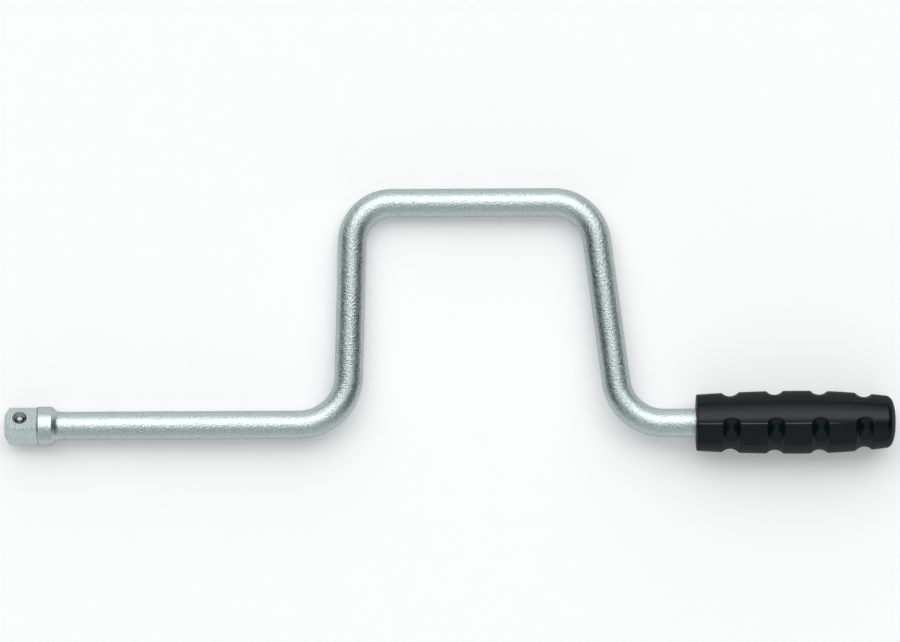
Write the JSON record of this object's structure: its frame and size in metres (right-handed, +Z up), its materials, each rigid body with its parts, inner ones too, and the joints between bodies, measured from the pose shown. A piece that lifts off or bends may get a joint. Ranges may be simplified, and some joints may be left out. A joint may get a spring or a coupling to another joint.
{
  "type": "speed brace",
  "caption": "Cranked steel hand brace with a spring-ball square drive at one end and a free-turning grooved plastic grip at the other, for running nuts and bolts quickly.",
  "frame": {"origin": "centre of the flat end of the drive square, on the drive axis", "axes": "+X runs along the drive axis from the drive square to the grip, +Y points from the drive axis to the handle of the crank, +Z is up with the brace lying flat"},
  "size_m": [0.4074, 0.1221, 0.0288],
  "materials": {
    "satin_chrome": "satin chrome with a fine grain",
    "ball_steel": "polished bearing steel",
    "spring_steel": "drawn spring wire",
    "black_plastic": "glossy black moulded plastic",
    "bush_bronze": "oiled sintered bronze",
    "washer_steel": "zinc plated steel",
    "ring_steel": "black phosphated spring steel"
  },
  "bodies": {
    "crank": {"crank": "satin_chrome", "detent_spring": "spring_steel", "retaining_ring": "ring_steel"},
    "grip": {"grip": "black_plastic", "front_bush": "bush_bronze", "rear_bush": "bush_bronze", "front_thrust_washer": "washer_steel", "rear_thrust_washer": "washer_steel", "end_cap": "black_plastic"},
    "ball": {"detent_ball": "ball_steel"}
  },
  "joints": [
    {"name": "grip_spin", "type": "hinge", "parent": "crank", "child": "grip", "pos_m": [0.3159, 0, 0], "axis": [1, 0, 0], "continuous": true},
    {"name": "detent_press", "type": "slide", "parent": "crank", "child": "ball", "axis": [0, -0.6157, -0.788], "range_m": [0, 0.00125], "stiffness_N_per_m": 3000, "springref_m": -0.003, "deforming": ["detent_spring"]}
  ]
}
